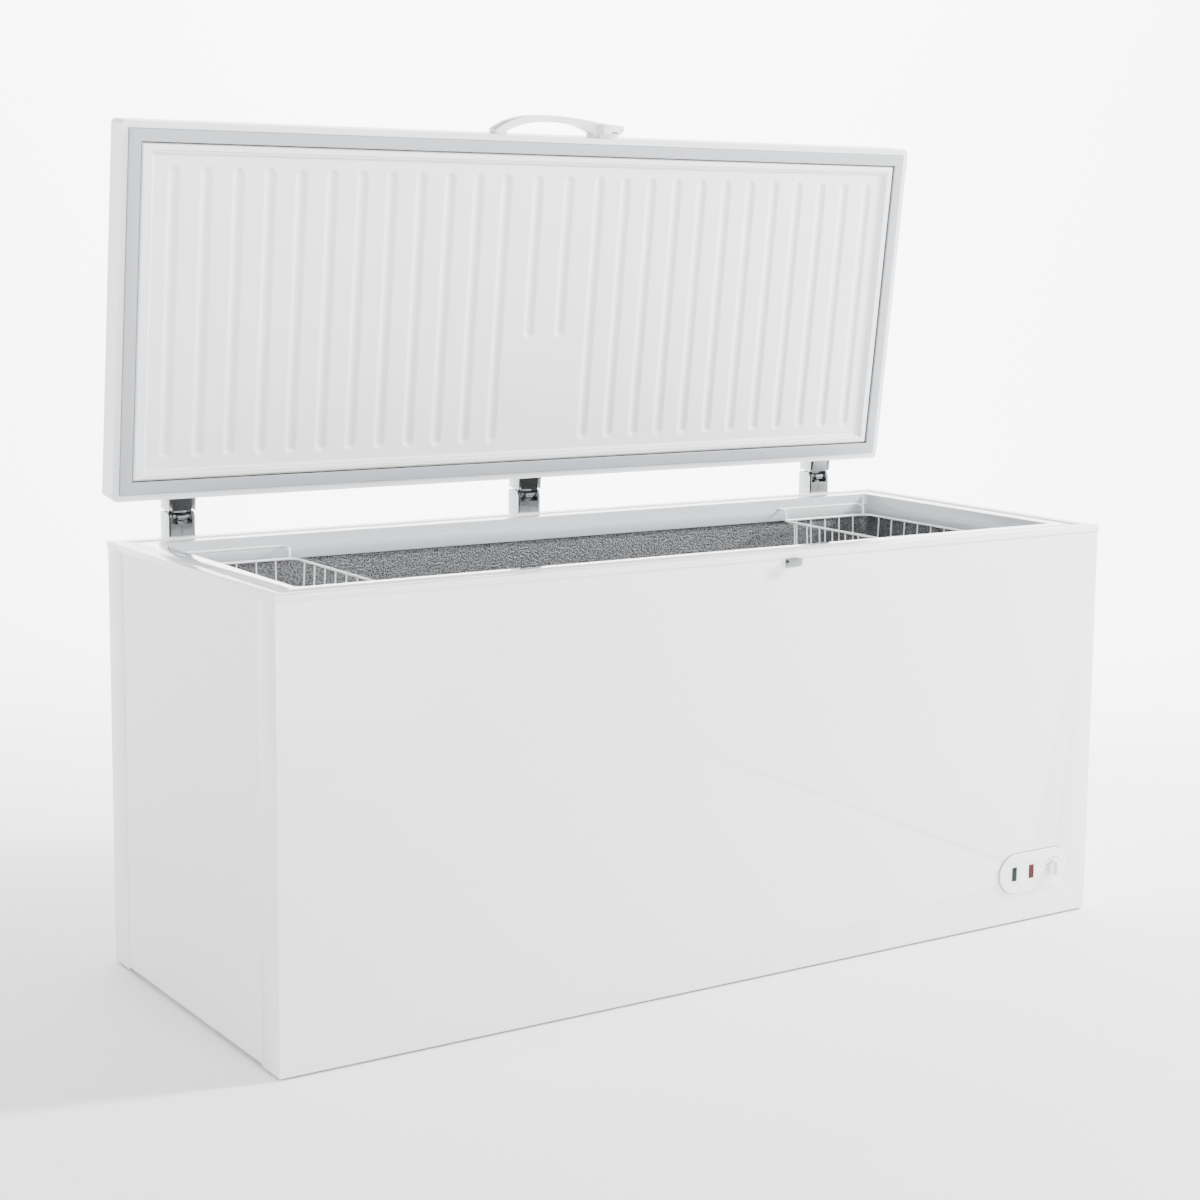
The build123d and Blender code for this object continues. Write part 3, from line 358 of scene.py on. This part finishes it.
def panel_height(x, y, lines):
    """Height of the inner panel's face at a point of the closed lid."""
    inset = min(LID_HALF_W - abs(x), y - LID_FRONT, LID_REAR - y)
    z = PLATEAU_Z + TURN_RISE * (1.0 - smoothstep(PLATEAU_INSET, PLATEAU_INSET + TURN_W, inset))
    inside = min(FIELD_X - abs(x), y - FIELD_Y0, FIELD_Y1 - y)
    z += FIELD_DEPTH * smoothstep(0.0, FIELD_SLOPE, inside)
    z += CREASE_DEPTH * (1.0 - smoothstep(CREASE_FLAT, CREASE_R, abs(inside - CREASE_R / 2)))
    outside_pad = max(abs(x) - PAD_HALF_W, abs(y - PAD_Y) - PAD_HALF_D)
    z -= PAD_RISE * (1.0 - smoothstep(-PAD_EDGE, PAD_EDGE, outside_pad))
    for line_x, front, rear in lines:
        dx = abs(x - line_x)
        if dx < GROOVE_R:
            dy = max(front - y, 0.0, y - rear)
            distance = math.hypot(dx, dy)
            z += GROOVE_DEPTH * (1.0 - smoothstep(GROOVE_FLAT, GROOVE_R, distance))
    return z


def spaced(low, high, step):
    """Evenly spaced values from low to high, both included."""
    count = max(1, round((high - low) / step))
    return [low + (high - low) * index / count for index in range(count + 1)]


def lid_panel():
    """The formed inner panel with its raised border, recessed field and soft grooves."""
    lines = groove_lines()
    half = LID_HALF_W - PLATEAU_INSET
    y0 = LID_FRONT + PLATEAU_INSET
    y1 = LID_REAR - PLATEAU_INSET
    near = spaced(0.0, EDGE_STRIP, FINE)[:-1]
    xs = [-half + e for e in near] + spaced(-half + EDGE_STRIP, half - EDGE_STRIP, ACROSS_GROOVES)
    xs += [half - e for e in reversed(near)]
    marks = [(y0, FINE), (y0 + EDGE_STRIP, MEDIUM), (GROOVE_Y0 + GROOVE_END, COARSE)]
    marks += [(SHORT_GROOVE_Y1 - SHORT_END, 0.0023), (SHORT_GROOVE_Y1 + 0.004, COARSE / 2)]
    marks += [(GROOVE_Y1 - GROOVE_END, MEDIUM), (y1 - EDGE_STRIP, FINE), (y1, 0.0)]
    ys = [y0]
    for (low, step), (high, _) in zip(marks, marks[1:]):
        ys += spaced(low, high, step)[1:]
    vertices = [(x, y, panel_height(x, y, lines)) for y in ys for x in xs]
    wide = len(xs)
    faces = []
    for row in range(len(ys) - 1):
        for column in range(wide - 1):
            a = row * wide + column
            faces.append((a, a + wide, a + wide + 1, a + 1))
    return stand_for(add_mesh("lid_panel_formed", vertices, faces, turned=True), "lid_inner_panel")


def frame_sweep(name, profile, turned):
    """A profile of (inset, z) carried round the lid in four mitred lengths."""
    vertices = []
    faces = []
    signs = [(-1, -1), (1, -1), (1, 1), (-1, 1)]
    for side in range(4):
        start = len(vertices)
        for inset, z in profile:
            for sx, sy in (signs[side], signs[(side + 1) % 4]):
                y = LID_FRONT + inset if sy < 0 else LID_REAR - inset
                vertices.append((sx * (LID_HALF_W - inset), y, z))
        for index in range(len(profile) - 1):
            a = start + 2 * index
            faces.append((a, a + 1, a + 3, a + 2))
    return add_mesh(name, vertices, faces, turned=turned)


def lid_gasket():
    """Magnetic gasket: a flat band with rounded edges, standing clear of the panel's border."""
    profile = [(GASKET_OUTER, SKIN_EDGE_Z), (GASKET_OUTER, GASKET_SIDE_Z)]
    angles = [math.radians(90.0 * step / 6) for step in range(7)]
    for angle in angles:
        inset = GASKET_OUTER + GASKET_ROUND * (1.0 - math.cos(angle))
        profile.append((inset, GASKET_SIDE_Z - GASKET_FACE_DROP * math.sin(angle)))
    for angle in angles:
        inset = GASKET_INNER - GASKET_ROUND * (1.0 - math.sin(angle))
        profile.append((inset, GASKET_SIDE_Z - GASKET_FACE_DROP * math.cos(angle)))
    profile.append((GASKET_INNER, SKIN_EDGE_Z))
    obj = frame_sweep("lid_gasket_profiled", profile, True)
    shade_by_angle(obj, 40.0)
    return stand_for(obj, "lid_gasket")


def lid_gasket_shade_lines():
    """Painted shade: flat black strips along both edges of the gasket, standing for the shadow there."""
    for name, near, far in (("lid_gasket_shade_outer", 0.0127, 0.0141), ("lid_gasket_shade_inner", 0.0379, 0.0400)):
        obj = frame_sweep(name, [(near, GASKET_SHADE_Z), (far, GASKET_SHADE_Z)], True)
        # The black colour is painted shade along the gasket's edges
        obj.data.materials.append(MATERIALS["rubber"])
        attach(obj, "lid")


# ---------------------------------------------------------------- wire baskets

BASKET_X = 0.738
BASKET_HALF_W = 0.128
BASKET_HALF_D = 0.280
BASKET_TOP = 0.808
BASKET_LOW = 0.583
BASKET_TAPER = 0.010
RIM_R = 0.0028
BAR_R = 0.0015
HANGER_R = 0.0025
BAR_BEND = 0.016
BARS_ALONG = 12
BARS_ACROSS = 6
MID_RING_DROP = 0.095
HANGER_END_Y = 0.3065


def rounded(points, radius, steps=5):
    """A path with its inner corners turned into arcs."""
    path = [Vector(points[0])]
    for before, corner, after in zip(points, points[1:], points[2:]):
        corner = Vector(corner)
        back = Vector(before) - corner
        ahead = Vector(after) - corner
        reach = min(radius, back.length * 0.5, ahead.length * 0.5)
        a = corner + back.normalized() * reach
        b = corner + ahead.normalized() * reach
        for step in range(steps + 1):
            t = step / steps
            path.append(a * (1 - t) ** 2 + corner * 2 * t * (1 - t) + b * t * t)
    return path + [Vector(points[-1])]


def wires(name, paths):
    """Round wires from (points, radius, closed) joined into one mesh."""
    curve = bpy.data.curves.new(name, "CURVE")
    curve.dimensions = "3D"
    curve.bevel_depth = 1.0
    curve.bevel_resolution = 2
    curve.use_fill_caps = True
    for points, radius, closed in paths:
        spline = curve.splines.new("POLY")
        spline.points.add(len(points) - 1)
        spline.use_cyclic_u = closed
        for point, place in zip(spline.points, points):
            point.co = (*place, 1.0)
            point.radius = radius
    holder = bpy.data.objects.new(name, curve)
    bpy.context.scene.collection.objects.link(holder)
    mesh = bpy.data.meshes.new_from_object(holder.evaluated_get(bpy.context.evaluated_depsgraph_get()))
    bpy.data.objects.remove(holder)
    obj = bpy.data.objects.new(name, mesh)
    bpy.context.scene.collection.objects.link(obj)
    mesh.polygons.foreach_set("use_smooth", [True] * len(mesh.polygons))
    return obj


def rim_path(x, half_w, half_d, z, radius=0.022):
    """A closed rounded rectangle at one height."""
    path = []
    steps = 6
    for sx, sy, start in ((1, 1, 0), (-1, 1, 90), (-1, -1, 180), (1, -1, 270)):
        for step in range(steps + 1):
            angle = math.radians(start + 90 * step / steps)
            px = x + sx * (half_w - radius) + radius * math.cos(angle)
            py = sy * (half_d - radius) + radius * math.sin(angle)
            path.append(Vector((px, py, z)))
    return path


def basket_wires(x):
    """Rim, floor ring, U-shaped bars both ways and the hangers of one basket."""
    inner_w = BASKET_HALF_W - RIM_R
    inner_d = BASKET_HALF_D - RIM_R
    base_w = inner_w - BASKET_TAPER
    base_d = inner_d - BASKET_TAPER
    low = BASKET_LOW + 0.002
    top = BASKET_TOP - RIM_R
    paths = [
        (rim_path(x, inner_w, inner_d, top), RIM_R, True),
        (rim_path(x, base_w, base_d, low + 0.004, 0.018), 0.0020, True),
        (rim_path(x, inner_w - 0.004, inner_d - 0.004, top - MID_RING_DROP), 0.0018, True),
    ]
    for index in range(1, BARS_ALONG):
        y = -inner_d + 2 * inner_d * index / BARS_ALONG
        bend = [(x - inner_w, y, top), (x - base_w, y, low), (x + base_w, y, low), (x + inner_w, y, top)]
        paths.append((rounded(bend, BAR_BEND), BAR_R, False))
    for index in range(1, BARS_ACROSS):
        px = x - inner_w + 2 * inner_w * index / BARS_ACROSS
        bend = [(px, -inner_d, top), (px, -base_d, low), (px, base_d, low), (px, inner_d, top)]
        paths.append((rounded(bend, BAR_BEND), BAR_R, False))
    for end in (-1, 1):
        paths.append((hanger_path(x, end, top), HANGER_R, False))
    return paths


def hanger_path(x, end, top):
    """A wire up from the rim's end, out over the ledge, along it and back."""
    half = BASKET_HALF_W - 0.014
    rim_y = end * (BASKET_HALF_D - 0.004)
    out_y = end * HANGER_END_Y
    over = LEDGE_Z + 0.0026
    points = [(x - half, rim_y, top), (x - half, rim_y + end * 0.002, over), (x - half, out_y, over)]
    points += [(x + half, out_y, over), (x + half, rim_y + end * 0.002, over), (x + half, rim_y, top)]
    return rounded(points, 0.006)


def baskets():
    """Both hanging baskets."""
    for side, node in ((-1, "left_basket"), (1, "right_basket")):
        stand_for(wires(node + "_wires", basket_wires(side * BASKET_X)), node)


# ---------------------------------------------------------------- small details

TICKS = 9
TICK_INNER = 0.0205
TICK_OUTER = 0.0240
TICK_SWEEP = 270.0
BEZEL_FACE_Y = -HALF_D - 0.0052
# A flat black ring of painted shade round the surround: its plane, then its inner and outer radii
GAP_SHADE_Y = -HALF_D - 0.0003
GAP_SHADE_RADII = (0.0428, 0.0442)
BEZEL_STRAIGHT = 0.054

def dial_marks():
    """Raised tick marks round the knob; they carry no figures."""
    vertices = []
    faces = []
    for index in range(TICKS):
        angle = math.radians(225.0 - TICK_SWEEP * index / (TICKS - 1))
        along = Vector((math.cos(angle), 0.0, math.sin(angle)))
        across = Vector((-math.sin(angle), 0.0, math.cos(angle))) * (0.0009 if index % 4 else 0.0013)
        centre = Vector((KNOB[0], BEZEL_FACE_Y, KNOB[1]))
        places = ((TICK_INNER, -1), (TICK_OUTER, -1), (TICK_OUTER, 1), (TICK_INNER, 1))
        corners = [centre + along * radius + across * side for radius, side in places]
        start = len(vertices)
        vertices += corners + [c + Vector((0, 0.0004, 0)) for c in corners]
        faces.append((start, start + 1, start + 2, start + 3))
        for k in range(4):
            n = (k + 1) % 4
            faces.append((start + k, start + k + 4, start + n + 4, start + n))
    obj = add_mesh("dial_marks", vertices, faces, smooth=False)
    obj.data.materials.append(MATERIALS["black_plastic"])
    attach(obj, "cabinet")


def bezel_gap_shade():
    """Painted shade: a flat black ring round the control panel's surround, standing for the shadow in
    the joint's gap.
    """
    vertices = []
    faces = []
    steps = 32
    for radius in GAP_SHADE_RADII:
        for index in range(steps):
            angle = math.tau * (index + 0.5) / steps
            x = PANEL[0] + radius * math.cos(angle) + math.copysign(BEZEL_STRAIGHT, math.cos(angle))
            vertices.append((x, GAP_SHADE_Y, PANEL[1] + radius * math.sin(angle)))
    for index in range(steps):
        n = (index + 1) % steps
        faces.append((index, n, steps + n, steps + index))
    obj = add_mesh("bezel_gap_shade", vertices, faces, smooth=False)
    # The black colour is painted shade in the gap round the surround
    obj.data.materials.append(MATERIALS["black_plastic"])
    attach(obj, "cabinet")


def eased_nodes():
    """CAD pieces that only need their hard edges rounded."""
    widths = {
        "front_panel": 0.0016,
        "rear_panel": 0.0016,
        "top_collar": 0.0012,
        "throat_frame": 0.0010,
        "lid_handle": 0.0030,
        "control_bezel": 0.0006,
        "thermostat_knob": 0.0008,
        "lid_edge_clip": 0.0008,
        "lock_keeper": 0.0004,
        "lock_cylinder": 0.0005,
        "drain_plug": 0.0010,
        "vent_grille": 0.0006,
    }
    for node, width in widths.items():
        eased(node, width)
    for hinge in ("left", "centre", "right"):
        eased(f"hinge_{hinge}_lower_cover", 0.0009)
        eased(f"hinge_{hinge}_upper_cover", 0.0009)


# ---------------------------------------------------------------- stage, light and camera

FLOOR_Z = -0.001
FLOOR_R = 4.6
SWEEP_R = 2.6
WALL_TOP = 5.4
SURROUND = 0.26

# name, place, aim, size in metres, watts
LIGHTS = [
    ("key", (5.6, -2.0, 3.9), (0.1, 0.3, 1.2), 1.0, 1350.0),
    ("front", (-0.6, -6.0, 2.6), (0.1, 0.0, 0.5), 2.6, 290.0),
    ("left", (-5.4, 0.8, 2.9), (-0.9, 0.0, 0.7), 2.0, 105.0),
    ("back", (1.6, 2.6, 4.4), (3.2, 6.0, 1.6), 2.4, 1500.0),
]

CAMERA_PLACE = (-2.560, -3.8744, 1.4715)
CAMERA_YAW = math.radians(34.31)
CAMERA_PITCH = math.radians(7.80)
CAMERA_ROLL = math.radians(0.73)
CAMERA_LENS = 68.5
CAMERA_SHIFT = -0.05

def backdrop():
    """A round white sweep: a floor that curves up into a low wall all the way round."""
    profile = [(0.0, FLOOR_Z), (FLOOR_R, FLOOR_Z)]
    for step in range(1, 17):
        angle = math.radians(90.0 * step / 16)
        radius = FLOOR_R + SWEEP_R * math.sin(angle)
        profile.append((radius, FLOOR_Z + SWEEP_R * (1.0 - math.cos(angle))))
    profile.append((FLOOR_R + SWEEP_R, WALL_TOP))
    around = 96
    vertices = []
    faces = []
    for radius, z in profile:
        for index in range(around):
            angle = math.tau * index / around
            vertices.append((radius * math.cos(angle), radius * math.sin(angle), z))
    for ring in range(len(profile) - 1):
        for index in range(around):
            a = ring * around + index
            b = ring * around + (index + 1) % around
            faces.append((a, b, b + around, a + around))
    sweep = add_mesh("studio_sweep", vertices, faces)
    sweep.data.materials.append(principled("studio_white", (0.93, 0.93, 0.93), 0.8))


def studio():
    """White sweep, four soft lights and a faint even surround."""
    backdrop()
    world = bpy.data.worlds.new("studio")
    bpy.context.scene.world = world
    world.use_nodes = True
    background = world.node_tree.nodes["Background"]
    background.inputs["Color"].default_value = (1.0, 1.0, 1.0, 1.0)
    background.inputs["Strength"].default_value = SURROUND
    for name, place, aim, size, watts in LIGHTS:
        soft_light(name, place, aim, size, watts)


def soft_light(name, place, target, size, power):
    """A square area light aimed at a point."""
    data = bpy.data.lights.new(name, "AREA")
    data.size = size
    data.energy = power
    light = bpy.data.objects.new(name, data)
    light.location = place
    light.rotation_euler = (Vector(target) - Vector(place)).to_track_quat("-Z", "Y").to_euler()
    bpy.context.scene.collection.objects.link(light)


def camera():
    """The photograph's viewpoint."""
    data = bpy.data.cameras.new("camera")
    data.sensor_width = 36.0
    data.lens = CAMERA_LENS
    data.shift_x = CAMERA_SHIFT
    data.shift_y = CAMERA_SHIFT
    data.clip_end = 100.0
    view = bpy.data.objects.new("camera", data)
    level = math.cos(CAMERA_PITCH)
    ahead = Vector((math.sin(CAMERA_YAW) * level, math.cos(CAMERA_YAW) * level, -math.sin(CAMERA_PITCH)))
    right = Vector((math.cos(CAMERA_YAW), -math.sin(CAMERA_YAW), 0.0))
    up = right.cross(ahead)
    side = right * math.cos(CAMERA_ROLL) + up * math.sin(CAMERA_ROLL)
    top = up * math.cos(CAMERA_ROLL) - right * math.sin(CAMERA_ROLL)
    turn = Matrix((side, top, -ahead)).transposed().to_4x4()
    view.matrix_world = Matrix.Translation(CAMERA_PLACE) @ turn
    bpy.context.scene.collection.objects.link(view)
    bpy.context.scene.camera = view


dress_nodes()
eased_nodes()
hinge_springs()
lid_panel()
lid_gasket()
lid_gasket_shade_lines()
baskets()
dial_marks()
bezel_gap_shade()
studio()
camera()
